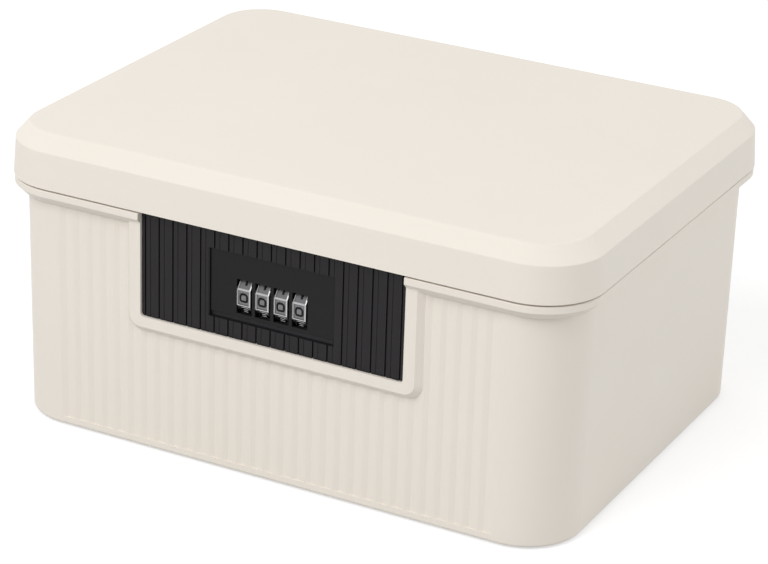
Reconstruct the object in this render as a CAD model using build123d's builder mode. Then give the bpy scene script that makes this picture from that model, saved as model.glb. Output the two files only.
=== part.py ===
from build123d import *
import os
from math import atan, cos, degrees, pi, radians, sin, sqrt, tan

# A free-standing moulded lock box: a drafted tub with a pleated front, a chamfered lid on a rear pin
# hinge, and a four-dial combination lock in a black ribbed insert at the front. Millimetres, +Z up,
# the front faces -Y. The origin is at the middle of the footprint, on the surface the feet stand on.

os.makedirs("parts", exist_ok=True)

# ---------------------------------------------------------------- driving dimensions

# Lid
lid_width = 300.0
lid_depth = 230.0
lid_corner_radius = 30.0
skirt_height = 17.5
skirt_draft = 1.2
chamfer_height = 7.5
chamfer_inset = 6.7
lid_wall = 2.5
lid_edge_radius = 0.9
lid_open_angle = 95.0

# Body
body_height = 119.9
body_wall = 2.6
floor_thickness = 2.8
wall_inset = 5.2
wall_draft = 0.8
body_corner_radius = 28.0
bottom_edge_radius = 1.5
seam_gap = 1.1

# Rim under the lid, and the lip that stands up inside it
rim_inset = 0.4
rim_band = 2.8
rim_edge = 0.4
rim_underside = 3.9
rim_slope_angle = 45.0
lip_height = 4.5
lip_thickness = 1.8
lip_clearance = 0.9

# Pleats across the flat of the front wall; the lock's slats have the same pitch and crease
rib_pitch = 7.35
rib_crease_share = 0.37
pleat_count = 31
pleat_depth = 0.8
pleat_set_in = 0.05
pleat_base = 4.0

# Feet
foot_radius = 7.0
foot_height = 2.5
foot_stand = 1.0
foot_edge_chamfer = 0.4
foot_clearance = 0.15
foot_inset = 30.0

# Rear hinge
knuckle_radius = 4.0
hinge_pin_radius = 1.75
hinge_running_gap = 0.05
hinge_fixed_gap = 0.02
pin_chamfer = 0.3
hinge_from_end = 65.0
lid_knuckle_length = 20.0
body_knuckle_length = 14.0
knuckle_gap = 0.4
gusset_drop = 8.0
gusset_angle = 30.0
stop_clearance = 3.6
stop_length = 12.0
stop_thickness = 3.2
stop_gap = 0.3

# Lock insert and its raised border
insert_width = 136.0
insert_height = 51.3
insert_gap = 0.3
insert_corner_radius = 1.5
border_inset = 2.6
border_width = 6.0
border_drop = 5.6
border_slope = 3.0
border_corner_radius = 5.5
border_neck_reach = 9.0
border_neck_radius = 1.5
cover_recess = 1.2
cover_thickness = 2.3
cover_skirt = 1.2
slat_groove_width = 0.75
slat_groove_depth = 0.9
slat_step_width = 0.4
slat_step_depth = 0.2

# Release plate in the cover's window, and its travel
plate_width = 64.0
plate_height = 31.2
plate_top_drop = 10.8
plate_recess = 1.2
plate_thickness = 1.4
plate_gap = 0.2
plate_edge_radius = 0.2
window_edge = 0.5
release_travel = 2.0

# Dials
dial_count = 4
dial_pitch = 9.57
dial_radius = 13.0
dial_width = 7.0
dial_facets = 10
dial_proud = 1.4
dial_drop = 31.7
dial_bore_radius = 4.0
dial_rim = 0.7
dial_ridge = 0.45
dial_pocket_depth = 0.4
dial_window_width = 8.0
dial_window_height = 16.8

# Code discs, spindle and fence
spindle_radius = 1.6
spindle_running_gap = 0.05
sleeve_gap = 0.03
disc_radius = 7.5
disc_thickness = 1.6
disc_flat = 5.0
fence_gap = 0.4
fence_thickness = 1.5
fence_tooth_width = 1.3
fence_bar_top_gap = 1.8
clip_radius = 3.2
clip_thickness = 0.6
clip_mouth = 1.6

# Carrier behind the plate
carrier_flange = 1.5
carrier_overlap = 2.5
carrier_floor_gap = 0.3
carrier_cheek = 2.5
carrier_cheek_gap = 0.6
carrier_rear_bar = 3.0
carrier_rear_bar_height = 4.0
carrier_cheek_half_height = 10.0
lug_width = 6.0
lug_depth = 2.6
leaf_thickness = 0.4
leaf_gap = 0.3
leaf_finger_width = 5.0
leaf_finger_height = 12.0

# Latch rocker
rocker_pivot_rise = 12.0
rocker_pivot_radius = 2.0
rocker_pivot_gap = 0.06
rocker_pivot_length = 5.0
ear_radius = 4.0
rocker_hub_radius = 3.7
rocker_width = 7.0
rocker_offset = 29.5
rocker_thickness = 3.0
rocker_arm_set = 1.0
rocker_lug_gap = 0.3
rocker_bar_height = 4.0
rocker_bar_drop = 10.0
nose_length = 3.4
nose_height = 3.5
nose_drop = 6.0
nose_tip = 1.2

# Case behind the lock
case_flange_width = 164.0
case_flange = 2.0
case_width = 92.0
case_wall = 2.0
case_depth = 26.4
case_top_gap = 0.4
case_bottom_drop = 56.0
slot_clearance = 0.6
slot_front_room = 1.6
case_flange_radius = 3.0

# Strike on the lid
strike_thickness = 1.5
strike_tab_width = 13.0
strike_nose_gap = 0.3
strike_bar = 3.7
strike_flange_depth = 12.0
strike_rise = 1.5
post_radius = 5.0

# Screws
screw_head_radius = 2.8
screw_head_height = 1.8
screw_head_edge = 0.6
low_head_height = 0.9
screw_radius = 1.5
screw_fit = 0.02
screw_clearance = 0.2
boss_radius = 3.9
case_screw_length = 5.0
mount_screw_length = 5.0
strike_screw_length = 8.0
case_screw_x = 58.0
mount_screw_x = 72.5
screw_edge = 9.0

# Return springs
spring_radius = 2.6
spring_wire = 0.35
spring_wire_sides = 6
spring_turns = 4
spring_end_gap = 0.1
spring_lead = 15.0

# How close an edge or corner must be to a level to be picked, and how far open cuts run on
tolerance = 0.01
run_on = 10.0

# ---------------------------------------------------------------- levels and planes

box_y = -knuckle_radius / 2
front_y = box_y - lid_depth / 2
body_bottom = foot_stand
rim_top = body_bottom + body_height
lid_base = rim_top + seam_gap
chamfer_base = lid_base + skirt_height
lid_top = chamfer_base + chamfer_height
wall_taper = degrees(atan(wall_draft / body_height))

hinge_y = box_y + lid_depth / 2
hinge_z = lid_base
hinge_offset = lid_width / 2 - hinge_from_end

border_y = front_y + border_inset
cover_y = border_y + cover_recess
cover_back_y = cover_y + cover_thickness
plate_y = cover_y + plate_recess
plate_back_y = plate_y + plate_thickness
carrier_back_y = plate_back_y + carrier_flange
dial_y = plate_y - dial_proud + dial_radius
dial_z = lid_base - dial_drop
dial_xs = [dial_pitch * (n - (dial_count - 1) / 2) for n in range(dial_count)]

insert_top = lid_base - seam_gap
insert_bottom = insert_top - insert_height
plate_top = lid_base - plate_top_drop
plate_bottom = plate_top - plate_height

flange_front_y = front_y + wall_inset + wall_draft + body_wall
flange_back_y = flange_front_y + case_flange
case_top = lid_base - case_top_gap - strike_rise
case_bottom = lid_base - case_bottom_drop
case_floor = case_bottom + case_wall
case_back_y = flange_back_y + case_depth
case_inner_y = case_back_y - case_wall

pivot_y = case_inner_y - ear_radius
pivot_z = case_bottom + rocker_pivot_rise
rocker_back_y = pivot_y - rocker_arm_set
rocker_front_y = rocker_back_y - rocker_thickness
rocker_top = case_top - case_wall - slot_clearance
nose_top = lid_base - nose_drop
nose_bottom = nose_top - nose_height
lug_bottom = pivot_z + rocker_thickness / 2 + rocker_lug_gap
strike_y = rocker_back_y + slot_clearance
strike_back_y = strike_y + strike_thickness


def box_plane(z):
    """A level plane on the middle of the box."""
    return Plane(origin=(0, box_y, z))


def front_plane(y, x=0, z=0):
    """An upright plane that faces the front: sketch X is +X and sketch Y is +Z."""
    return Plane(origin=(x, y, z), x_dir=(1, 0, 0), z_dir=(0, -1, 0))


def side_plane(x, y=0, z=0):
    """An upright plane that faces +X: sketch X is +Y and sketch Y is +Z."""
    return Plane(origin=(x, y, z), x_dir=(0, 1, 0), z_dir=(1, 0, 0))


def lid_outline(inset, radius):
    """A rounded rectangle that lies inside the lid's outline by one distance all round."""
    RectangleRounded(lid_width - 2 * inset, lid_depth - 2 * inset, radius)


def save(piece, name):
    """Label a finished piece and write its STEP file."""
    piece.part.label = name
    export_step(piece.part, f"parts/{name}.step")


# ---------------------------------------------------------------- body shell

bottom_inset = wall_inset + wall_draft
cavity_inset = bottom_inset + body_wall
lip_inset = lid_wall + lip_clearance
upper_inset = lip_inset + lip_thickness
band_top = rim_top - rim_edge
band_bottom = band_top - rim_band
step_bottom = band_bottom - rim_underside
pleat_bottom = body_bottom + pleat_base
rim_spread = rim_underside * tan(radians(rim_slope_angle))
pleat_span = rib_pitch * pleat_count
half_knuckle_reach = lid_knuckle_length / 2 + knuckle_gap + body_knuckle_length
hinge_centres = [-hinge_offset, hinge_offset]
body_knuckle_starts = [
    centre + side
    for centre in hinge_centres
    for side in (-half_knuckle_reach, lid_knuckle_length / 2 + knuckle_gap)
]
mount_screw_places = [
    (x, z)
    for x in (-mount_screw_x, mount_screw_x)
    for z in (case_bottom + screw_edge, case_top - screw_edge)
]
foot_places = {
    f"foot_{row}_{side}": (x, y)
    for row, y in (("front", foot_inset - lid_depth / 2), ("back", lid_depth / 2 - foot_inset))
    for side, x in (("left", foot_inset - lid_width / 2), ("right", lid_width / 2 - foot_inset))
}
gusset_lean = radians(gusset_angle)
skirt_lean = degrees(atan(skirt_draft / skirt_height))
stop_offset = hinge_offset - half_knuckle_reach - stop_clearance - stop_length / 2
stop_drop = knuckle_radius * tan(radians(lid_open_angle - 90 - skirt_lean)) + stop_gap

half_border = insert_width / 2 + border_width + border_slope
border_bottom = insert_bottom - border_drop - border_slope
border_depth = wall_inset + wall_draft + body_wall / 2 - border_inset

# Raised border round the lock: sloping sides, rounded below, spreading into the rim at the top
with BuildPart() as border:
    with BuildSketch(front_plane(border_y + border_depth)) as border_outline:
        with Locations((0, (border_bottom + rim_top) / 2)):
            Rectangle(2 * half_border, rim_top - border_bottom)
        with Locations((0, (band_bottom + rim_top) / 2)):
            Rectangle(2 * (half_border + border_neck_reach), rim_top - band_bottom)
        corners = border_outline.vertices()
        fillet(corners.group_by(Axis.Y)[0], border_corner_radius + border_slope)
        inner = half_border + tolerance
        necks = corners.filter_by_position(Axis.X, -inner, inner)
        necks = necks.filter_by_position(Axis.Y, band_bottom - tolerance, band_bottom + tolerance)
        fillet(necks, border_neck_radius)
    extrude(amount=border_depth)
    outer_edges = border.faces().sort_by(Axis.Y)[0].edges().group_by(Axis.Z)[:-1]
    chamfer([edge for group in outer_edges for edge in group], border_slope)

with BuildPart() as body_shell:
    # Drafted outside, with a small radius round the bottom edge
    with BuildSketch(box_plane(body_bottom)):
        lid_outline(bottom_inset, body_corner_radius)
    extrude(amount=body_height, taper=-wall_taper)
    fillet(body_shell.faces().sort_by(Axis.Z)[0].edges(), bottom_edge_radius)

    # Shallow pleats down the flat of the front wall, leaning with its draft
    pleat_y = front_y + bottom_inset + pleat_set_in - wall_draft * pleat_base / body_height
    with BuildSketch(Plane(origin=(-pleat_span / 2, pleat_y, pleat_bottom))):
        with BuildLine():
            folds = [(0, 0)]
            for n in range(pleat_count):
                folds.append(((n + rib_crease_share) * rib_pitch, pleat_depth))
                folds.append(((n + 1) * rib_pitch, 0))
            Polyline(*folds, (pleat_span, -body_wall), (0, -body_wall), (0, 0))
        make_face()
    extrude(amount=body_height, dir=(0, -wall_draft, body_height), mode=Mode.SUBTRACT)

    # Rim: a band under the lid with a sloping underside
    with BuildSketch(box_plane(step_bottom)):
        lid_outline(rim_inset + rim_spread, lid_corner_radius - rim_inset - rim_spread)
    extrude(amount=rim_underside, taper=-rim_slope_angle)
    with BuildSketch(box_plane(band_bottom)):
        lid_outline(rim_inset, lid_corner_radius - rim_inset)
    extrude(amount=rim_band)
    with BuildSketch(box_plane(band_top)):
        lid_outline(rim_inset, lid_corner_radius - rim_inset)
    extrude(amount=rim_edge, taper=rim_slope_angle)

    # Lip that stands up inside the lid
    with BuildSketch(box_plane(rim_top)):
        lid_outline(lip_inset, lid_corner_radius - lip_inset)
    extrude(amount=lip_height)

    add(border.part)

    # Storage space, wider behind the rim
    with BuildSketch(box_plane(body_bottom + floor_thickness)):
        lid_outline(cavity_inset, body_corner_radius - body_wall)
    extrude(amount=body_height, taper=-wall_taper, mode=Mode.SUBTRACT)
    with BuildSketch(box_plane(step_bottom)):
        lid_outline(upper_inset + rim_spread, lid_corner_radius - upper_inset - rim_spread)
    extrude(amount=rim_underside, taper=-rim_slope_angle, mode=Mode.SUBTRACT)
    with BuildSketch(box_plane(band_bottom)):
        lid_outline(upper_inset, lid_corner_radius - upper_inset)
    extrude(amount=rim_top + lip_height - band_bottom, mode=Mode.SUBTRACT)

    # Screw bosses for the lock case on the inside of the front wall
    with BuildSketch(front_plane(flange_front_y)):
        with Locations(*mount_screw_places):
            Circle(boss_radius)
    extrude(amount=wall_draft + body_wall / 2)
    with BuildSketch(front_plane(flange_front_y)):
        with Locations(*mount_screw_places):
            Circle(screw_radius + screw_fit)
    extrude(amount=mount_screw_length - case_flange + screw_clearance, mode=Mode.SUBTRACT)

    # Notch for the lock insert, open at the top
    with BuildSketch(front_plane(flange_front_y)) as notch:
        notch_bottom = insert_bottom - insert_gap
        notch_top = rim_top + lip_height
        with Locations((0, (notch_bottom + notch_top) / 2)):
            Rectangle(insert_width + 2 * insert_gap, notch_top - notch_bottom)
        fillet(notch.vertices().group_by(Axis.Y)[0], insert_corner_radius + insert_gap)
    extrude(amount=flange_front_y - front_y + run_on, mode=Mode.SUBTRACT)

    # Hinge: room for the lid's knuckles, then the body's own knuckles on gussets
    for centre in hinge_centres:
        reach = lid_knuckle_length / 2 + knuckle_gap
        with BuildSketch(side_plane(centre - reach, hinge_y, hinge_z)):
            Circle(knuckle_radius + knuckle_gap)
        extrude(amount=2 * reach, mode=Mode.SUBTRACT)
    for start in body_knuckle_starts:
        with BuildSketch(side_plane(start, hinge_y, hinge_z)):
            Circle(knuckle_radius)
            with BuildLine():
                Polyline(
                    (-upper_inset, -seam_gap),
                    (0, -seam_gap),
                    (knuckle_radius * cos(gusset_lean), -knuckle_radius * sin(gusset_lean)),
                    (-wall_inset, -knuckle_radius - gusset_drop),
                    (-upper_inset, -seam_gap),
                )
            make_face()
        extrude(amount=body_knuckle_length)
        with BuildSketch(side_plane(start, hinge_y, hinge_z)):
            Circle(hinge_pin_radius + hinge_fixed_gap)
        extrude(amount=body_knuckle_length, mode=Mode.SUBTRACT)

    # Ledges that the open lid rests back on
    for centre in (-stop_offset, stop_offset):
        with BuildSketch(side_plane(centre - stop_length / 2, hinge_y, hinge_z)):
            with BuildLine():
                Polyline(
                    (-upper_inset, -stop_drop),
                    (knuckle_radius, -stop_drop),
                    (knuckle_radius, -stop_drop - stop_thickness),
                    (-wall_inset, -knuckle_radius - gusset_drop),
                    (-upper_inset, -stop_drop),
                )
            make_face()
        extrude(amount=stop_length)

    # Seats for the feet
    with BuildSketch(box_plane(body_bottom)):
        with Locations(*foot_places.values()):
            Circle(foot_radius + foot_clearance)
    extrude(amount=foot_height - foot_stand, mode=Mode.SUBTRACT)
save(body_shell, "body_shell")

# ---------------------------------------------------------------- feet

for name, (x, y) in foot_places.items():
    with BuildPart() as foot:
        with BuildSketch(Plane(origin=(x, box_y + y, 0))):
            Circle(foot_radius)
        extrude(amount=foot_height)
        chamfer(foot.edges().group_by(Axis.Z)[0], foot_edge_chamfer)
    save(foot, name)

# ---------------------------------------------------------------- lid shell

post_places = [(-rocker_offset, 0), (rocker_offset, 0)]
strike_flange_top = lid_base + strike_rise + strike_thickness
strike_front_y = strike_back_y - strike_flange_depth
post_y = (strike_front_y + strike_y) / 2

with BuildPart() as lid_shell:
    # Leaning skirt and broad chamfer, one wall thick
    with BuildSketch(box_plane(lid_base)):
        lid_outline(0, lid_corner_radius)
    extrude(amount=skirt_height, taper=skirt_lean)
    with BuildSketch(box_plane(chamfer_base)):
        lid_outline(skirt_draft, lid_corner_radius - skirt_draft)
    extrude(amount=chamfer_height, taper=degrees(atan(chamfer_inset / chamfer_height)))
    offset(amount=-lid_wall, openings=lid_shell.faces().sort_by(Axis.Z)[0])
    crease = lid_shell.edges().filter_by_position(
        Axis.Z, chamfer_base - tolerance, chamfer_base + tolerance
    )
    fillet(crease, lid_edge_radius)
    rim_of_top = lid_shell.faces().sort_by(Axis.Z)[-1].outer_wire().edges()
    fillet(rim_of_top, lid_edge_radius)

    # Room in the skirt for the body's knuckles, then the lid's own knuckles
    for start in body_knuckle_starts:
        with BuildSketch(side_plane(start - knuckle_gap, hinge_y, hinge_z)):
            Circle(knuckle_radius + knuckle_gap)
        extrude(amount=body_knuckle_length + 2 * knuckle_gap, mode=Mode.SUBTRACT)
    for centre in hinge_centres:
        with BuildSketch(side_plane(centre - lid_knuckle_length / 2, hinge_y, hinge_z)):
            Circle(knuckle_radius)
            with BuildLine():
                Polyline(
                    (-lid_wall, 0),
                    (knuckle_radius, 0),
                    (-skirt_draft, knuckle_radius + gusset_drop),
                    (-lid_wall, knuckle_radius + gusset_drop),
                    (-lid_wall, 0),
                )
            make_face()
        extrude(amount=lid_knuckle_length)
        with BuildSketch(side_plane(centre - lid_knuckle_length / 2, hinge_y, hinge_z)):
            Circle(hinge_pin_radius + hinge_running_gap)
        extrude(amount=lid_knuckle_length, mode=Mode.SUBTRACT)

    # Posts that carry the strike
    post_plane = Plane(origin=(0, post_y, strike_flange_top))
    with BuildSketch(post_plane):
        with Locations(*post_places):
            Circle(post_radius)
    extrude(amount=lid_top - lid_wall / 2 - strike_flange_top)
    with BuildSketch(post_plane):
        with Locations(*post_places):
            Circle(screw_radius + screw_fit)
    extrude(amount=strike_screw_length - strike_thickness + screw_clearance, mode=Mode.SUBTRACT)
save(lid_shell, "lid_shell")

# ---------------------------------------------------------------- hinge pins

for side, centre in (("left", -hinge_offset), ("right", hinge_offset)):
    with BuildPart() as hinge_pin:
        with BuildSketch(side_plane(centre - half_knuckle_reach, hinge_y, hinge_z)):
            Circle(hinge_pin_radius)
        extrude(amount=2 * half_knuckle_reach)
        chamfer(hinge_pin.edges().filter_by(GeomType.CIRCLE), pin_chamfer)
    save(hinge_pin, f"hinge_pin_{side}")

# ---------------------------------------------------------------- lock cover

window_bottom = plate_bottom - release_travel - plate_gap
window_top = plate_top + plate_gap
case_screw_places = [
    (x, z)
    for x in (-case_screw_x, case_screw_x)
    for z in (case_bottom + screw_edge, case_top - screw_edge)
]
slat_half_count = int(insert_width / 2 / rib_pitch)
slat_grooves = [n * rib_pitch for n in range(-slat_half_count, slat_half_count + 1)]
slat_steps = [x + rib_crease_share * rib_pitch for x in slat_grooves]

with BuildPart() as lock_cover:
    with BuildSketch(front_plane(flange_front_y)) as outline:
        with Locations((0, (insert_bottom + insert_top) / 2)):
            Rectangle(insert_width, insert_height)
        fillet(outline.vertices().group_by(Axis.Y)[0], insert_corner_radius)
    extrude(amount=flange_front_y - cover_y)

    # Hollow behind the face
    with BuildSketch(front_plane(flange_front_y)):
        with Locations((0, (insert_bottom + insert_top) / 2)):
            Rectangle(insert_width - 2 * cover_skirt, insert_height - 2 * cover_skirt)
    extrude(amount=flange_front_y - cover_back_y, mode=Mode.SUBTRACT)

    # Window for the release plate
    with BuildSketch(front_plane(cover_y)):
        with Locations((0, (window_bottom + window_top) / 2)):
            Rectangle(plate_width + 2 * plate_gap, window_top - window_bottom)
    extrude(amount=-cover_thickness, mode=Mode.SUBTRACT)
    upright = lock_cover.edges().filter_by(Axis.Z)
    upright = upright.filter_by_position(Axis.Y, cover_y - tolerance, cover_y + tolerance)
    chamfer(upright.sort_by(Axis.X)[1:-1], window_edge)

    # Slats: a deep groove and a faint step beside it, repeated across the face
    with BuildSketch(front_plane(cover_y)):
        with Locations(*[(x, (insert_bottom + insert_top) / 2) for x in slat_grooves]):
            Rectangle(slat_groove_width, insert_height)
    extrude(amount=-slat_groove_depth, mode=Mode.SUBTRACT)
    with BuildSketch(front_plane(cover_y)):
        with Locations(*[(x, (insert_bottom + insert_top) / 2) for x in slat_steps]):
            Rectangle(slat_step_width, insert_height)
    extrude(amount=-slat_step_depth, mode=Mode.SUBTRACT)

    # Bosses for the case screws
    with BuildSketch(front_plane(flange_front_y)):
        with Locations(*case_screw_places):
            Circle(boss_radius)
    extrude(amount=flange_front_y - cover_back_y)
    with BuildSketch(front_plane(flange_front_y)):
        with Locations(*case_screw_places):
            Circle(screw_radius + screw_fit)
    extrude(amount=case_screw_length - case_flange + screw_clearance, mode=Mode.SUBTRACT)
save(lock_cover, "lock_cover")

# ---------------------------------------------------------------- lock case

slot_width = strike_tab_width + 2 * slot_clearance
slot_front_y = strike_y - slot_front_room
fence_bar_top = dial_z - dial_radius - release_travel - fence_bar_top_gap
fence_half_width = dial_xs[-1] + dial_pitch
fence_seat_height = (fence_bar_top - case_floor) / 2
ear_x = rocker_offset + rocker_width / 2 + slot_clearance

with BuildPart() as lock_case:
    # Flange that closes the whole back of the insert, and a deep box in its middle
    with BuildSketch(front_plane(flange_back_y)) as flange:
        with Locations((0, (case_bottom + case_top) / 2)):
            Rectangle(case_flange_width, case_top - case_bottom)
        fillet(flange.vertices(), case_flange_radius)
    extrude(amount=case_flange)
    with BuildSketch(front_plane(flange_back_y)):
        with Locations((0, (case_bottom + case_top) / 2)):
            Rectangle(case_width, case_top - case_bottom)
    extrude(amount=-case_depth)
    outer_back = lock_case.faces().sort_by(Axis.Y)[-1]
    fillet(outer_back.edges().filter_by(Axis.X).group_by(Axis.Z)[0], case_wall)
    fillet(lock_case.edges().filter_by(Axis.Z).group_by(Axis.Y)[-1], case_wall)
    with BuildSketch(front_plane(flange_front_y)):
        with Locations((0, (case_bottom + case_top) / 2)):
            Rectangle(case_width - 2 * case_wall, case_top - case_bottom - 2 * case_wall)
    extrude(amount=flange_front_y - case_inner_y, mode=Mode.SUBTRACT)

    # Slots in the top for the strike's tabs
    with BuildSketch(Plane(origin=(0, (slot_front_y + case_inner_y) / 2, case_top))):
        with Locations(*post_places):
            Rectangle(slot_width, case_inner_y - slot_front_y)
    extrude(amount=-case_wall, mode=Mode.SUBTRACT)

    # Bearing ears for the rocker, two on each side of it
    for side in (-1, 1):
        start = ear_x if side > 0 else -ear_x - rocker_pivot_length
        with BuildSketch(side_plane(start, pivot_y, pivot_z)):
            Circle(ear_radius)
            with Locations((ear_radius / 2, 0)):
                Rectangle(ear_radius, 2 * ear_radius)
        extrude(amount=rocker_pivot_length)
        with BuildSketch(side_plane(start, pivot_y, pivot_z)):
            Circle(rocker_pivot_radius + rocker_pivot_gap)
        extrude(amount=rocker_pivot_length, mode=Mode.SUBTRACT)

    # Two ribs on the floor that hold the fence comb
    for rib_y in (dial_y - fence_thickness / 2 - case_wall, dial_y + fence_thickness / 2):
        with BuildSketch(Plane(origin=(0, rib_y + case_wall / 2, case_floor))):
            Rectangle(2 * fence_half_width, case_wall)
        extrude(amount=fence_seat_height)

    # Screw holes
    with BuildSketch(front_plane(flange_back_y)):
        with Locations(*case_screw_places, *mount_screw_places):
            Circle(screw_radius + screw_clearance)
    extrude(amount=case_flange, mode=Mode.SUBTRACT)
save(lock_case, "lock_case")

# ---------------------------------------------------------------- screws


def screws(name, head_y, places, length):
    """A group of pan-head screws driven from the back towards the front."""
    with BuildPart() as group:
        with BuildSketch(front_plane(head_y)):
            with Locations(*places):
                Circle(screw_head_radius)
        extrude(amount=-screw_head_height)
        chamfer(group.edges().group_by(Axis.Y)[-1], screw_head_edge)
        with BuildSketch(front_plane(head_y)):
            with Locations(*places):
                Circle(screw_radius)
        extrude(amount=length)
    save(group, name)


screws("case_screws", flange_back_y, case_screw_places, case_screw_length)
screws("mount_screws", flange_back_y, mount_screw_places, mount_screw_length)

# ---------------------------------------------------------------- fence comb

disc_offset = dial_width / 2 + (dial_pitch - dial_width) / 2
disc_xs = [x + disc_offset for x in dial_xs]
fence_tip = dial_z - disc_radius - fence_gap

with BuildPart() as fence_comb:
    with BuildSketch(front_plane(dial_y + fence_thickness / 2)):
        with Locations((0, (case_floor + fence_bar_top) / 2)):
            Rectangle(2 * fence_half_width, fence_bar_top - case_floor)
        with Locations(*[(x, (case_floor + fence_tip) / 2) for x in disc_xs]):
            Rectangle(fence_tooth_width, fence_tip - case_floor)
    extrude(amount=fence_thickness)
save(fence_comb, "fence_comb")

# ---------------------------------------------------------------- release plate

with BuildPart() as release_plate:
    with BuildSketch(front_plane(plate_back_y)):
        with Locations((0, (plate_bottom + plate_top) / 2)):
            Rectangle(plate_width, plate_height)
        with Locations(*[(x, dial_z) for x in dial_xs]):
            Rectangle(dial_window_width, dial_window_height, mode=Mode.SUBTRACT)
    extrude(amount=plate_thickness)
    fillet(release_plate.faces().sort_by(Axis.Y)[0].outer_wire().edges(), plate_edge_radius)
save(release_plate, "release_plate")

# ---------------------------------------------------------------- dial carrier

cheek_inner = disc_xs[-1] + disc_thickness / 2 + carrier_cheek_gap
cheek_outer = cheek_inner + carrier_cheek
carrier_bottom = insert_bottom + cover_skirt + carrier_floor_gap + release_travel
carrier_top = plate_top + carrier_overlap
leaf_y = dial_y + dial_radius + leaf_gap
rear_bar_y = leaf_y + leaf_thickness
opening_half_height = sqrt(dial_radius**2 - (dial_y - carrier_back_y) ** 2) + carrier_cheek_gap
rear_bar_z = dial_z - carrier_cheek_half_height + carrier_rear_bar_height / 2

with BuildPart() as dial_carrier:
    # Flange behind the plate, wider than the window, open round the dials
    with BuildSketch(front_plane(carrier_back_y)):
        with Locations((0, (carrier_bottom + carrier_top) / 2)):
            Rectangle(plate_width + 2 * carrier_overlap, carrier_top - carrier_bottom)
        with Locations((0, dial_z)):
            Rectangle(2 * cheek_inner, 2 * opening_half_height, mode=Mode.SUBTRACT)
    extrude(amount=carrier_flange)

    # Cheeks that hold the spindle, joined at the back by a bar
    for start in (-cheek_outer, cheek_inner):
        with BuildSketch(side_plane(start, carrier_back_y, dial_z)):
            with Locations(((rear_bar_y + carrier_rear_bar - carrier_back_y) / 2, 0)):
                Rectangle(
                    rear_bar_y + carrier_rear_bar - carrier_back_y, 2 * carrier_cheek_half_height
                )
        extrude(amount=carrier_cheek)
    with BuildSketch(front_plane(rear_bar_y)):
        with Locations((0, rear_bar_z)):
            Rectangle(2 * cheek_outer, carrier_rear_bar_height)
    extrude(amount=-carrier_rear_bar)
    with BuildSketch(side_plane(-cheek_outer, dial_y, dial_z)):
        Circle(spindle_radius + sleeve_gap)
    extrude(amount=2 * cheek_outer, mode=Mode.SUBTRACT)

    # Lugs that press the rocker's tails down
    for side in (-1, 1):
        with BuildSketch(front_plane(carrier_back_y, side * rocker_offset, lug_bottom + lug_width / 2)):
            Rectangle(lug_width, lug_width)
        extrude(amount=-lug_depth)
save(dial_carrier, "dial_carrier")

# ---------------------------------------------------------------- spindle, clips and detent leaf

spindle_end = cheek_outer + 2 * clip_thickness

with BuildPart() as dial_spindle:
    with BuildSketch(side_plane(-spindle_end, dial_y, dial_z)):
        Circle(spindle_radius)
    extrude(amount=2 * spindle_end)
    chamfer(dial_spindle.edges().filter_by(GeomType.CIRCLE), pin_chamfer)
save(dial_spindle, "dial_spindle")

with BuildPart() as spindle_clips:
    for start in (-cheek_outer - clip_thickness, cheek_outer):
        with BuildSketch(side_plane(start, dial_y, dial_z)):
            Circle(clip_radius)
            Circle(spindle_radius + sleeve_gap, mode=Mode.SUBTRACT)
            with Locations((0, clip_radius)):
                Rectangle(clip_mouth, 2 * clip_radius, mode=Mode.SUBTRACT)
        extrude(amount=clip_thickness)
save(spindle_clips, "spindle_clips")

with BuildPart() as detent_leaf:
    with BuildSketch(front_plane(rear_bar_y)):
        with Locations((0, rear_bar_z)):
            Rectangle(2 * cheek_inner, carrier_rear_bar_height)
        with Locations(*[(x, rear_bar_z + leaf_finger_height / 2) for x in dial_xs]):
            Rectangle(leaf_finger_width, leaf_finger_height)
    extrude(amount=leaf_thickness)
save(detent_leaf, "detent_leaf")

# ---------------------------------------------------------------- dials and code discs

facet_angle = 2 * pi / dial_facets
facet_radius = dial_radius * cos(facet_angle / 2)
facet_height = 2 * dial_radius * sin(facet_angle / 2)

for number, x in enumerate(dial_xs, start=1):
    with BuildPart() as dial:
        with BuildSketch(side_plane(x - dial_width / 2, dial_y, dial_z)):
            RegularPolygon(dial_radius, dial_facets, rotation=degrees(facet_angle / 2))
            Circle(dial_bore_radius, mode=Mode.SUBTRACT)
        extrude(amount=dial_width)
        for n in range(dial_facets):
            up, out = sin(n * facet_angle), cos(n * facet_angle)
            facet = Plane(
                origin=(x, dial_y + facet_radius * out, dial_z + facet_radius * up),
                x_dir=(1, 0, 0),
                z_dir=(0, out, up),
            )
            with BuildSketch(facet):
                Rectangle(dial_width - 2 * dial_rim, facet_height - 2 * dial_ridge)
            extrude(amount=-dial_pocket_depth, mode=Mode.SUBTRACT)
    save(dial, f"dial_{number}")

    # Sleeve through the dial with a disc beside it: flat where the fence may pass
    with BuildPart() as code_disc:
        with BuildSketch(side_plane(x - dial_width / 2, dial_y, dial_z)):
            Circle(dial_bore_radius - sleeve_gap)
        extrude(amount=disc_offset + dial_width / 2 - disc_thickness / 2)
        with BuildSketch(side_plane(x + disc_offset - disc_thickness / 2, dial_y, dial_z)):
            Circle(disc_radius)
            Rectangle(2 * disc_radius, 2 * disc_flat, mode=Mode.INTERSECT)
        extrude(amount=disc_thickness)
        with BuildSketch(side_plane(x - dial_width / 2, dial_y, dial_z)):
            Circle(spindle_radius + spindle_running_gap)
        extrude(amount=dial_pitch, mode=Mode.SUBTRACT)
    save(code_disc, f"code_disc_{number}")

# ---------------------------------------------------------------- latch rocker

tail_front_y = carrier_back_y + slot_clearance
rocker_bar_top = rocker_top - rocker_bar_drop

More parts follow.
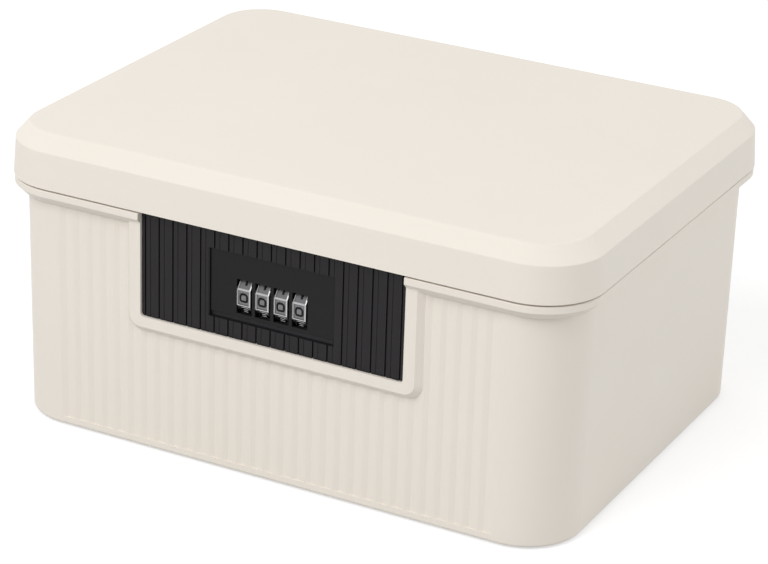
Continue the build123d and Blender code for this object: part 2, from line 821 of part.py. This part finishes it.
with BuildPart() as latch_rocker:
    for side in (-1, 1):
        middle_x = side * rocker_offset
        with BuildSketch(side_plane(middle_x - rocker_width / 2)):
            with Locations((pivot_y, pivot_z)):
                Circle(rocker_hub_radius)
            with Locations(((tail_front_y + pivot_y) / 2, pivot_z)):
                Rectangle(pivot_y - tail_front_y, rocker_thickness)
            with Locations(((rocker_front_y + rocker_back_y) / 2, (pivot_z + rocker_top) / 2)):
                Rectangle(rocker_thickness, rocker_top - pivot_z)
            with BuildLine():
                Polyline(
                    (rocker_back_y, nose_bottom),
                    (rocker_back_y + nose_length, nose_bottom),
                    (rocker_back_y + nose_length, nose_bottom + nose_tip),
                    (rocker_back_y, nose_top),
                    (rocker_back_y, nose_bottom),
                )
            make_face()
        extrude(amount=rocker_width)
        stub = ear_x + rocker_pivot_length
        with BuildSketch(side_plane(middle_x, pivot_y, pivot_z)):
            Circle(rocker_pivot_radius)
        extrude(amount=side * (stub - rocker_offset))
    with BuildSketch(front_plane(rocker_back_y)):
        with Locations((0, rocker_bar_top - rocker_bar_height / 2)):
            Rectangle(2 * rocker_offset, rocker_bar_height)
    extrude(amount=rocker_thickness)
save(latch_rocker, "latch_rocker")

# ---------------------------------------------------------------- lid strike

tab_bottom = nose_bottom - strike_nose_gap - strike_bar
tab_window_bottom = nose_bottom - strike_nose_gap
tab_window_top = lid_base - seam_gap
strike_flange_width = 2 * rocker_offset + strike_tab_width

with BuildPart() as lid_strike:
    with BuildSketch(Plane(origin=(0, (strike_front_y + strike_back_y) / 2, strike_flange_top))):
        Rectangle(strike_flange_width, strike_flange_depth)
    extrude(amount=-strike_thickness)
    with BuildSketch(front_plane(strike_back_y)):
        with Locations(*[(x, (tab_bottom + strike_flange_top) / 2) for x, y in post_places]):
            Rectangle(strike_tab_width, strike_flange_top - tab_bottom)
        window_middle = (tab_window_bottom + tab_window_top) / 2
        with Locations(*[(x, window_middle) for x, y in post_places]):
            Rectangle(
                rocker_width + 2 * slot_clearance,
                tab_window_top - tab_window_bottom,
                mode=Mode.SUBTRACT,
            )
    extrude(amount=strike_thickness)
    with BuildSketch(Plane(origin=(0, post_y, strike_flange_top))):
        with Locations(*post_places):
            Circle(screw_radius + screw_clearance)
    extrude(amount=-strike_thickness, mode=Mode.SUBTRACT)
save(lid_strike, "lid_strike")

with BuildPart() as strike_screws:
    head_plane = Plane(origin=(0, post_y, strike_flange_top - strike_thickness))
    with BuildSketch(head_plane):
        with Locations(*post_places):
            Circle(screw_head_radius)
    extrude(amount=-low_head_height)
    with BuildSketch(head_plane):
        with Locations(*post_places):
            Circle(screw_radius)
    extrude(amount=strike_screw_length)
save(strike_screws, "strike_screws")

# ---------------------------------------------------------------- return springs

spring_bottom = case_floor + spring_end_gap + spring_wire
spring_top = pivot_z - rocker_thickness / 2 - spring_end_gap - spring_wire
spring_y = pivot_y - spring_lead

for side, x in (("left", -rocker_offset), ("right", rocker_offset)):
    with BuildPart() as return_spring:
        with BuildLine() as coil:
            Helix(
                (spring_top - spring_bottom) / spring_turns,
                spring_top - spring_bottom,
                spring_radius,
                center=(x, spring_y, spring_bottom),
            )
        with BuildSketch(Plane(origin=coil.line @ 0, z_dir=coil.line % 0)):
            RegularPolygon(spring_wire, spring_wire_sides)
        sweep(is_frenet=True)
    save(return_spring, f"return_spring_{side}")
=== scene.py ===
import math

import bmesh
import bpy
from mathutils import Matrix, Vector


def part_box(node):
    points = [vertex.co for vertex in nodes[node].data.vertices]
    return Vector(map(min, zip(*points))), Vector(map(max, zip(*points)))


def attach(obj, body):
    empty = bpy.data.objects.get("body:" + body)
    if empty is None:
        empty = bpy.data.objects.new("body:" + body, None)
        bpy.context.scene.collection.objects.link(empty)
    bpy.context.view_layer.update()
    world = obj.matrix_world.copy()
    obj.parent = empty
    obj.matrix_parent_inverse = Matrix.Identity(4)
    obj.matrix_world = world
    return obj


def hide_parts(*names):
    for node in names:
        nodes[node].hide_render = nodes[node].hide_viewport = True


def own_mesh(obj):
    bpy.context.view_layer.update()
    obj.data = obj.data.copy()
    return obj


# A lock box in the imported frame: +Z up, the front faces -Y. Lengths are in metres, and those that
# are multiplied by MM where they are used are in millimetres.

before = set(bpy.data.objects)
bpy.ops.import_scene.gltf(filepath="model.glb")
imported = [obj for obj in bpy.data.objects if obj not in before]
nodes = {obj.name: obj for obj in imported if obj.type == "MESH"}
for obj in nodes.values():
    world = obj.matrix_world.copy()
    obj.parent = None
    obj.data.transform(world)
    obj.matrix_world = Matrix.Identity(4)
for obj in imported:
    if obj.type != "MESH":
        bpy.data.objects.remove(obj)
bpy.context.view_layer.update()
scene = bpy.context.scene
scene.view_settings.view_transform = "Standard"
MM = 0.001


# ---------------------------------------------------------------- camera

AZIMUTH = math.radians(27.39)
ELEVATION = math.radians(23.42)
ROLL = math.radians(1.93)
AIM = Vector((0.0, -2.0, 122.0))
ASIDE, ALOFT, DISTANCE = -2.60, -56.05, 1381.44
FOCAL_PIXELS, FRAME_PIXELS, SENSOR = 2908.46, 768.0, 36.0
CLIP_START, CLIP_END = 0.05, 50.0

back = Vector((
    math.sin(AZIMUTH) * math.cos(ELEVATION),
    -math.cos(AZIMUTH) * math.cos(ELEVATION),
    math.sin(ELEVATION),
))
level = Vector((math.cos(AZIMUTH), math.sin(AZIMUTH), 0.0))
upright = back.cross(level)
right = math.cos(ROLL) * level + math.sin(ROLL) * upright
up = math.cos(ROLL) * upright - math.sin(ROLL) * level
eye = (AIM + ASIDE * right + ALOFT * up + DISTANCE * back) * MM

camera_data = bpy.data.cameras.new("camera")
camera_data.sensor_fit = "HORIZONTAL"
camera_data.sensor_width = SENSOR
camera_data.lens = FOCAL_PIXELS / FRAME_PIXELS * SENSOR
camera_data.clip_start = CLIP_START
camera_data.clip_end = CLIP_END
camera = bpy.data.objects.new("camera", camera_data)
axes = Matrix((right, up, back)).transposed().to_4x4()
camera.matrix_world = Matrix.Translation(eye) @ axes
scene.collection.objects.link(camera)
scene.camera = camera


# ---------------------------------------------------------------- dials' sizes

DIALS = 4
FACETS = 10
DIAL_PITCH = 9.57
POCKET_DEPTH = 0.4

low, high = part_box("dial_1")
dial_middle = (low + high) / 2 / MM
spindle = Vector((0.0, dial_middle.y, dial_middle.z))
dial_half = (high.x - low.x) / 2 / MM
facet_reach = (high.y - low.y) / 2 / MM


# ---------------------------------------------------------------- shader nodes

WHITE = (1.0, 1.0, 1.0)
# The middle of a noise's range, which holds nearly all of its values
NOISE_START, NOISE_END = 0.3, 0.7


def shader(name):
    """A new node material and its parts: the tree, its Principled shader and object coordinates."""
    material = bpy.data.materials.new(name)
    material.use_nodes = True
    tree = material.node_tree
    principled = tree.nodes["Principled BSDF"]
    coords = tree.nodes.new("ShaderNodeTexCoord")
    return material, tree, principled, coords.outputs["Object"]


def feed(tree, socket, value):
    """Link the value to the socket, or set it there if it is a number or a (red, green, blue)."""
    if isinstance(value, bpy.types.NodeSocket):
        tree.links.new(value, socket)
    else:
        socket.default_value = (*value, 1.0) if isinstance(value, tuple) else value


def reckon(tree, operation, first, second=0.0):
    """What a Math node makes of the two values."""
    node = tree.nodes.new("ShaderNodeMath")
    node.operation = operation
    feed(tree, node.inputs[0], first)
    feed(tree, node.inputs[1], second)
    return node.outputs["Value"]


def noise(tree, coords, scale, detail, stretch=(1.0, 1.0, 1.0)):
    """A noise whose grain is 1/scale metres, and that much finer along an axis with a stretch."""
    mapping = tree.nodes.new("ShaderNodeMapping")
    mapping.inputs["Scale"].default_value = stretch
    texture = tree.nodes.new("ShaderNodeTexNoise")
    texture.inputs["Scale"].default_value = scale
    texture.inputs["Detail"].default_value = detail
    tree.links.new(coords, mapping.inputs["Vector"])
    tree.links.new(mapping.outputs["Vector"], texture.inputs["Vector"])
    return texture.outputs["Fac"]


def spread(tree, value, low, high, start=NOISE_START, end=NOISE_END):
    """The value's range from start to end, drawn out to run from low to high."""
    node = tree.nodes.new("ShaderNodeMapRange")
    node.inputs["From Min"].default_value = start
    node.inputs["From Max"].default_value = end
    node.inputs["To Min"].default_value = low
    node.inputs["To Max"].default_value = high
    tree.links.new(value, node.inputs["Value"])
    return node.outputs["Result"]


def tint(tree, factor, first, second):
    """A colour between first and second."""
    node = tree.nodes.new("ShaderNodeMix")
    node.data_type = "RGBA"
    feed(tree, node.inputs["A"], first)
    feed(tree, node.inputs["B"], second)
    tree.links.new(factor, node.inputs["Factor"])
    return node.outputs["Result"]


def relief(tree, principled, layers):
    """Bumps on the shader, from (height, distance in metres, strength) layers."""
    last = None
    for height, distance, strength in layers:
        bump = tree.nodes.new("ShaderNodeBump")
        bump.inputs["Distance"].default_value = distance
        bump.inputs["Strength"].default_value = strength
        tree.links.new(height, bump.inputs["Height"])
        if last:
            tree.links.new(last, bump.inputs["Normal"])
        last = bump.outputs["Normal"]
    tree.links.new(last, principled.inputs["Normal"])


# ---------------------------------------------------------------- materials

# Noise layers as (scale, detail), and how far the gloss strays below and above its mean
PLASTIC_CLOUD, PLASTIC_FLOW = (11.0, 4.0), (45.0, 3.0)
METAL_CLOUD = (120.0, 3.0)
GRAIN_DETAIL = 2.0
PLASTIC_BELOW, PLASTIC_ABOVE = 0.05, 0.06
METAL_BELOW, METAL_ABOVE = 0.06, 0.10
ETCH_STRENGTH, BRUSH_STRENGTH = 0.35, 0.3

# The dials' plating and numerals: the colours of the plating in the pockets, darker there as
# painted shade, and on the rims, its roughness there, how gradually one becomes the other, and the
# rounding of the dials' sides
DIAL_GRAIN, DIAL_STRETCH, DIAL_DEPTH = 900.0, (1.0, 8.0, 8.0), 0.00003
SATIN_SHADED_POCKET = (0.150, 0.150, 0.155), (0.225, 0.225, 0.230)
BRIGHT = (0.40, 0.40, 0.41), (0.54, 0.54, 0.55)
DULL_ROUGH, BRIGHT_ROUGH = 0.40, 0.24
RIM_POCKET_BLUR = 0.03
RIM_EDGE, RIM_FALL, RIM_STRENGTH = 0.45, 0.30, 1.0


def plastic(name, first, second, rough, specular, grain, depth):
    """Moulded plastic: slight clouding of the colour, a fine etched grain and uneven gloss."""
    material, tree, principled, coords = shader(name)
    cloud = noise(tree, coords, *PLASTIC_CLOUD)
    etch = noise(tree, coords, grain, GRAIN_DETAIL)
    flow = noise(tree, coords, *PLASTIC_FLOW)
    colour = tint(tree, spread(tree, cloud, 0.0, 1.0), first, second)
    gloss = spread(tree, flow, rough - PLASTIC_BELOW, rough + PLASTIC_ABOVE)
    tree.links.new(colour, principled.inputs["Base Color"])
    tree.links.new(gloss, principled.inputs["Roughness"])
    principled.inputs["Specular IOR Level"].default_value = specular
    relief(tree, principled, [(etch, depth, ETCH_STRENGTH)])
    return material


def metal(name, first, second, rough, grain, stretch, depth):
    """Metal with a directional brushed or turned grain and slightly uneven colour."""
    material, tree, principled, coords = shader(name)
    cloud = noise(tree, coords, *METAL_CLOUD)
    brush = noise(tree, coords, grain, GRAIN_DETAIL, stretch)
    colour = tint(tree, spread(tree, cloud, 0.0, 1.0), first, second)
    gloss = spread(tree, brush, rough - METAL_BELOW, rough + METAL_ABOVE)
    tree.links.new(colour, principled.inputs["Base Color"])
    tree.links.new(gloss, principled.inputs["Roughness"])
    principled.inputs["Metallic"].default_value = 1.0
    relief(tree, principled, [(brush, depth, BRUSH_STRENGTH)])
    return material


def plating(name):
    """The dials' plating: satin in the facets' pockets and darker there as painted shade, worn
    bright on their rims and ridges.
    """
    material, tree, principled, coords = shader(name)
    place = tree.nodes.new("ShaderNodeSeparateXYZ")
    tree.links.new(coords, place.inputs["Vector"])

    def sums(operation, first, second=0.0):
        return reckon(tree, operation, first, second)

    # A point's reach along the normal of its own facet tells a rim from the floor of a pocket
    out = sums("SUBTRACT", place.outputs["Y"], spindle.y * MM)
    rise = sums("SUBTRACT", place.outputs["Z"], spindle.z * MM)
    half = math.pi / FACETS
    turn = sums("FLOORED_MODULO", sums("ADD", sums("ARCTAN2", rise, out), half), 2 * half)
    radius = sums("SQRT", sums("ADD", sums("POWER", out, 2.0), sums("POWER", rise, 2.0)))
    reach = sums("MULTIPLY", radius, sums("COSINE", sums("SUBTRACT", turn, half)))
    middle, blur = (facet_reach - POCKET_DEPTH / 2) * MM, RIM_POCKET_BLUR * MM
    rubbed_rim_over_shaded_pocket = spread(tree, reach, 0.0, 1.0, middle - blur, middle + blur)

    brush = noise(tree, coords, DIAL_GRAIN, GRAIN_DETAIL, DIAL_STRETCH)
    # The pockets' darker plating is painted shade; the rims' lighter plating is worn bright
    colour = tint(tree, rubbed_rim_over_shaded_pocket, tint(tree, brush, *SATIN_SHADED_POCKET), tint(tree, brush, *BRIGHT))
    tree.links.new(colour, principled.inputs["Base Color"])
    gloss = spread(tree, rubbed_rim_over_shaded_pocket, DULL_ROUGH, BRIGHT_ROUGH, 0.0, 1.0)
    tree.links.new(gloss, principled.inputs["Roughness"])
    principled.inputs["Metallic"].default_value = 1.0

    # Rims that fall off towards the sides of each dial
    pitch, side = DIAL_PITCH * MM, dial_half * MM
    along = sums("FLOORED_MODULO", place.outputs["X"], pitch)
    off = sums("ABSOLUTE", sums("SUBTRACT", along, pitch / 2))
    edge = spread(tree, off, 1.0, 0.0, side - RIM_EDGE * MM, side)
    relief(tree, principled, [
        (brush, DIAL_DEPTH, BRUSH_STRENGTH),
        (edge, RIM_FALL * MM, RIM_STRENGTH),
    ])
    return material


finishes = {
    "cream_plastic": plastic(
        "cream_satin", (0.838, 0.781, 0.702), (0.850, 0.795, 0.720),
        rough=0.46, specular=0.35, grain=2200.0, depth=0.00004,
    ),
    "black_plastic": plastic(
        "black_satin", (0.0118, 0.0102, 0.0118), (0.0142, 0.0124, 0.0142),
        rough=0.42, specular=0.22, grain=2600.0, depth=0.00004,
    ),
    "dark_plastic": plastic(
        "dark_moulded", (0.030, 0.030, 0.033), (0.042, 0.042, 0.046),
        rough=0.55, specular=0.35, grain=1800.0, depth=0.00006,
    ),
    "dial_metal": plating("dial_plating"),
    "disc_brass": metal(
        "disc_turned", (0.70, 0.52, 0.24), (0.80, 0.62, 0.31),
        rough=0.28, grain=1400.0, stretch=(6.0, 1.0, 1.0), depth=0.00003,
    ),
    "steel": metal(
        "zinc_plate", (0.56, 0.57, 0.59), (0.68, 0.68, 0.69),
        rough=0.32, grain=700.0, stretch=(1.0, 1.0, 5.0), depth=0.00003,
    ),
    "foot_rubber": plastic(
        "foot_moulded", (0.030, 0.030, 0.030), (0.045, 0.044, 0.042),
        rough=0.78, specular=0.25, grain=1200.0, depth=0.00010,
    ),
}
cast = metal(
    "numeral_cast", (0.46, 0.46, 0.47), (0.58, 0.58, 0.59),
    rough=0.26, grain=DIAL_GRAIN, stretch=DIAL_STRETCH, depth=DIAL_DEPTH,
)
enamel = plastic(
    "numeral_enamel", (0.005, 0.005, 0.006), (0.009, 0.009, 0.010),
    rough=0.34, specular=0.12, grain=3000.0, depth=0.00002,
)
plate_satin = plastic(
    "plate_satin", (0.0090, 0.0080, 0.0090), (0.0112, 0.0100, 0.0112),
    rough=0.36, specular=0.17, grain=2600.0, depth=0.00003,
)

# The CAD nodes come with plain materials that are named after their slots
for node in nodes.values():
    for place in node.material_slots:
        place.material = finishes[place.material.name]
nodes["release_plate"].material_slots[0].material = plate_satin


# ---------------------------------------------------------------- mesh helpers

def tube(mesh, rings, closed=False):
    """Faces between rings of points, with two end caps unless the last ring joins the first."""
    for one, two in zip(rings, rings[1:] + rings[:1] if closed else rings[1:]):
        for k in range(len(one)):
            after = (k + 1) % len(one)
            mesh.faces.new((one[k], two[k], two[after], one[after]))
    if not closed:
        mesh.faces.new(rings[0])
        mesh.faces.new(reversed(rings[-1]))


def add_object(name, mesh, material):
    """A new object from the bmesh, which is freed."""
    data = bpy.data.meshes.new(name)
    mesh.to_mesh(data)
    mesh.free()
    data.materials.append(material)
    made = bpy.data.objects.new(name, data)
    scene.collection.objects.link(made)
    return made


# ---------------------------------------------------------------- numerals on the dials

NUMERAL_WIDTH, NUMERAL_HEIGHT, NUMERAL_ROUND = 3.4, 3.5, 1.4
ROUNDING_STEPS = 4
# Half widths of a stroke at its crown and foot, and heights above the floor of a facet's pocket
CROWN, FOOT = 0.54, 0.66
RELIEF_ROOT, RELIEF_TOP = -0.05, 0.14
ENAMEL_ROOT, ENAMEL_TOP = 0.10, 0.16
# How much higher a numeral's second stroke stands than its first, so that no faces coincide
STROKE_LIFT = 0.01
# Ends of a line that are nearer than this are the same point
TOUCHING = 1e-6

# Each numeral is cast on its facet with sloping sides, and has enamel on its crown. A piece's kind
# gives its slot, its material and the section across its strokes as (aside, height).
SECTIONS = {
    "numeral_relief": ("dial_metal", cast, [
        (-FOOT, RELIEF_ROOT), (-CROWN, RELIEF_TOP), (CROWN, RELIEF_TOP), (FOOT, RELIEF_ROOT),
    ]),
    "numerals": ("black_plastic", enamel, [
        (-CROWN, ENAMEL_ROOT), (-CROWN, ENAMEL_TOP), (CROWN, ENAMEL_TOP), (CROWN, ENAMEL_ROOT),
    ]),
}

# Centre lines of the strokes, in shares of the width and height from the lower left corner
NUMERALS = [
    [[(0.5, 0), (1, 0), (1, 1), (0, 1), (0, 0), (0.5, 0)]],
    [[(0.2, 0.75), (0.6, 1), (0.6, 0)]],
    [[(0, 0.72), (0, 1), (1, 1), (1, 0.52), (0, 0), (1, 0)]],
    [[(0, 1), (1, 1), (1, 0.52), (0.3, 0.52)], [(0.6, 0.52), (1, 0.52), (1, 0), (0, 0)]],
    [[(0.78, 0), (0.78, 1), (0, 0.3), (1.05, 0.3)]],
    [[(1, 1), (0, 1), (0, 0.56), (1, 0.56), (1, 0), (0, 0)]],
    [[(0.9, 1), (0, 1), (0, 0), (1, 0), (1, 0.54), (0, 0.54)]],
    [[(0, 1), (1, 1), (0.35, 0)]],
    [[(0.5, 0), (1, 0), (1, 1), (0, 1), (0, 0), (0.5, 0)], [(0, 0.52), (1, 0.52)]],
    [[(1, 0.46), (0, 0.46), (0, 1), (1, 1), (1, 0), (0.1, 0)]],
]


def rounded(points, radius):
    """The line through the points with its corners rounded."""
    line = [points[0]]
    for before, corner, after in zip(points, points[1:], points[2:]):
        into, out = corner - before, after - corner
        reach = min(radius, into.length / 2, out.length / 2)
        start, end = corner - into.normalized() * reach, corner + out.normalized() * reach
        for step in range(ROUNDING_STEPS + 1):
            t = step / ROUNDING_STEPS
            line.append((1 - t) ** 2 * start + 2 * t * (1 - t) * corner + t ** 2 * end)
    return line + [points[-1]]


def add_stroke(mesh, line, section, turn, x, lift):
    """A stroke along the line with that section across it, on the facet turned to that angle."""
    closed = (line[0] - line[-1]).length < TOUCHING
    if closed:
        line = line[:-1]
    last = len(line) - 1
    rings = []
    for n, point in enumerate(line):
        before = line[n - 1] if n > 0 or closed else point
        after = line[(n + 1) % len(line)] if n < last or closed else point
        along = (after - before).normalized()
        across = Vector((-along.y, along.x))
        ring = []
        for aside, height in section:
            u, v = point + aside * across
            spot = Vector((x + u, -(facet_reach - POCKET_DEPTH + height + lift), v))
            ring.append(mesh.verts.new((turn @ spot + spindle) * MM))
        rings.append(ring)
    tube(mesh, rings, closed)


for dial in range(DIALS):
    x = DIAL_PITCH * (dial - (DIALS - 1) / 2)
    for kind, (slot, material, section) in SECTIONS.items():
        mesh = bmesh.new()
        for number, strokes in enumerate(NUMERALS):
            turn = Matrix.Rotation(-number * 2 * math.pi / FACETS, 3, "X")
            for n, stroke in enumerate(strokes):
                points = [
                    Vector(((u - 0.5) * NUMERAL_WIDTH, (v - 0.5) * NUMERAL_HEIGHT))
                    for u, v in stroke
                ]
                line = rounded(points, NUMERAL_ROUND)
                add_stroke(mesh, line, section, turn, x, STROKE_LIFT * n)
        bmesh.ops.recalc_face_normals(mesh, faces=mesh.faces)
        numerals = add_object(f"{kind}_{dial + 1}", mesh, material)
        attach(numerals, f"wheel_{dial + 1}")


# ---------------------------------------------------------------- return springs

# Round wire with closed ends, in place of the plain CAD coils.
SPRINGS = ("return_spring_left", "return_spring_right")
WIRE_RADIUS, WIRE_SIDES = 0.35 * MM, 10
SPRING_TURNS, TURN_STEPS, END_CLOSING = 4, 32, 0.45
UP = Vector((0.0, 0.0, 1.0))

for name in SPRINGS:
    low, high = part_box(name)
    middle = (low + high) / 2
    foot = Vector((middle.x, middle.y, low.z))
    coil_radius = (high.x - low.x) / 2 - WIRE_RADIUS
    rise = high.z - low.z - 2 * WIRE_RADIUS
    mesh = bmesh.new()
    rings = []
    for step in range(SPRING_TURNS * TURN_STEPS + 1):
        share = step / (SPRING_TURNS * TURN_STEPS)
        angle = 2 * math.pi * SPRING_TURNS * share
        climb = share - END_CLOSING * math.sin(2 * math.pi * share) / (2 * math.pi)
        outward = Vector((math.cos(angle), math.sin(angle), 0.0))
        centre = foot + (WIRE_RADIUS + rise * climb) * UP + coil_radius * outward
        ring = []
        for k in range(WIRE_SIDES):
            around = 2 * math.pi * k / WIRE_SIDES
            side = math.cos(around) * outward + math.sin(around) * UP
            ring.append(mesh.verts.new(centre + WIRE_RADIUS * side))
        rings.append(ring)
    tube(mesh, rings)
    bmesh.ops.recalc_face_normals(mesh, faces=mesh.faces)
    for face in mesh.faces:
        face.smooth = len(face.verts) < WIRE_SIDES
    spring = add_object(f"{name}_coil", mesh, finishes["steel"])
    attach(spring, "box")
    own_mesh(spring)
    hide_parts(name)


# ---------------------------------------------------------------- world and floor

WORLD_LIGHT = 0.58
FLOOR_HALF = 12.0
FLOOR_ALBEDO = 0.58
# What the floor adds to the light on it to look white, up to GLOW_FROM and from GLOW_TO outwards
NEAR_GLOW, FAR_GLOW = 0.54, 0.72
GLOW_FROM, GLOW_TO = 0.5, 2.5


def seen(tree):
    """1 for camera, glossy and transmission rays, which see the plain white surroundings."""
    path = tree.nodes.new("ShaderNodeLightPath")
    value = path.outputs["Is Camera Ray"]
    for other in ("Is Glossy Ray", "Is Transmission Ray"):
        value = reckon(tree, "MAXIMUM", value, path.outputs[other])
    return value


world = bpy.data.worlds.new("studio")
world.use_nodes = True
scene.world = world
tree = world.node_tree
background = tree.nodes["Background"]
feed(tree, background.inputs["Color"], WHITE)
feed(tree, background.inputs["Strength"], spread(tree, seen(tree), WORLD_LIGHT, 1.0, 0.0, 1.0))

floor_white = bpy.data.materials.new("floor_white")
floor_white.use_nodes = True
tree = floor_white.node_tree
tree.nodes.remove(tree.nodes["Principled BSDF"])
diffuse = tree.nodes.new("ShaderNodeBsdfDiffuse")
feed(tree, diffuse.inputs["Color"], (FLOOR_ALBEDO, FLOOR_ALBEDO, FLOOR_ALBEDO))
away = tree.nodes.new("ShaderNodeVectorMath")
away.operation = "LENGTH"
feed(tree, away.inputs[0], tree.nodes.new("ShaderNodeTexCoord").outputs["Object"])
shine = spread(tree, away.outputs["Value"], NEAR_GLOW, FAR_GLOW, GLOW_FROM, GLOW_TO)
glow = tree.nodes.new("ShaderNodeEmission")
feed(tree, glow.inputs["Color"], WHITE)
feed(tree, glow.inputs["Strength"], reckon(tree, "MULTIPLY", seen(tree), shine))
both = tree.nodes.new("ShaderNodeAddShader")
feed(tree, both.inputs[0], diffuse.outputs["BSDF"])
feed(tree, both.inputs[1], glow.outputs["Emission"])
feed(tree, tree.nodes["Material Output"].inputs["Surface"], both.outputs["Shader"])

mesh = bmesh.new()
bmesh.ops.create_grid(mesh, x_segments=1, y_segments=1, size=FLOOR_HALF)
add_object("floor", mesh, floor_white)


# ---------------------------------------------------------------- lamps

LAMP_AIM = Vector((0.0, 0.0, 0.08))


def lamp(name, place, size, watts, mirrored):
    """A large soft lamp that faces the box, and shows in glossy surfaces where it is mirrored."""
    data = bpy.data.lights.new(name, "AREA")
    data.shape = "DISK"
    data.size = size
    data.energy = watts
    light = bpy.data.objects.new(name, data)
    facing = (LAMP_AIM - Vector(place)).to_track_quat("-Z", "Y").to_matrix().to_4x4()
    light.matrix_world = Matrix.Translation(place) @ facing
    light.visible_glossy = mirrored
    scene.collection.objects.link(light)


lamp("key", (-0.47, -1.80, 1.93), size=1.6, watts=31.6, mirrored=False)
lamp("side", (1.75, 1.20, 0.45), size=1.6, watts=11.5, mirrored=True)
lamp("fill", (-1.75, 1.10, 0.55), size=1.6, watts=7.0, mirrored=False)
lamp("glint", (1.52, -1.52, 1.75), size=0.85, watts=4.0, mirrored=True)
